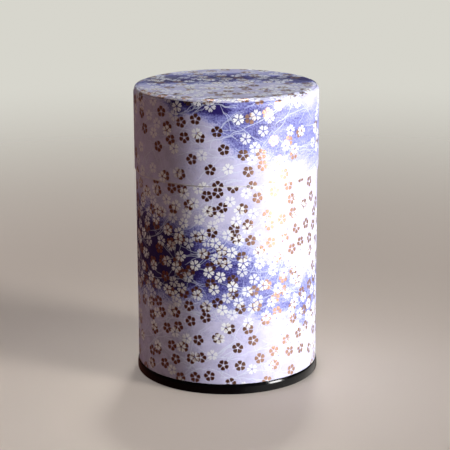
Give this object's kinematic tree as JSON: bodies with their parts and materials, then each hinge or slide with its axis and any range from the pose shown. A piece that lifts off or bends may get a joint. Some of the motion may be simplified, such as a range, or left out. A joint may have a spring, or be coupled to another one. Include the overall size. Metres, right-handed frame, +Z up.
{
  "type": "tea caddy",
  "caption": "Cylindrical tin tea caddy covered in blossom-printed washi paper, with a slip-over lid, a plug-type inner lid with a knob, and a black foot.",
  "frame": {"origin": "centre of the foot ring, on the plane the caddy stands on", "axes": "+Z up along the caddy's axis, towards the lid; the front of the print faces -Y"},
  "size_m": [0.076, 0.076, 0.121],
  "materials": {
    "tinplate": "satin",
    "washi": "satin",
    "black_paint": "gloss",
    "knob_metal": "polished"
  },
  "bodies": {
    "body": {"body_tube": "tinplate", "body_paper": "washi", "neck_sleeve": "tinplate", "base_cap": "black_paint"},
    "inner_lid": {"inner_lid_pan": "tinplate", "knob": "knob_metal", "knob_rivet": "knob_metal"},
    "lid": {"lid_tube": "tinplate", "lid_top": "tinplate", "lid_side_paper": "washi", "lid_top_paper": "washi"}
  },
  "joints": [
    {"name": "inner_lid_lift", "type": "slide", "parent": "body", "child": "inner_lid", "axis": [0, 0, 1], "range_m": [0, 0.03]},
    {"name": "lid_lift", "type": "slide", "parent": "inner_lid", "child": "lid", "axis": [0, 0, 1], "range_m": [0, 0.06]}
  ]
}
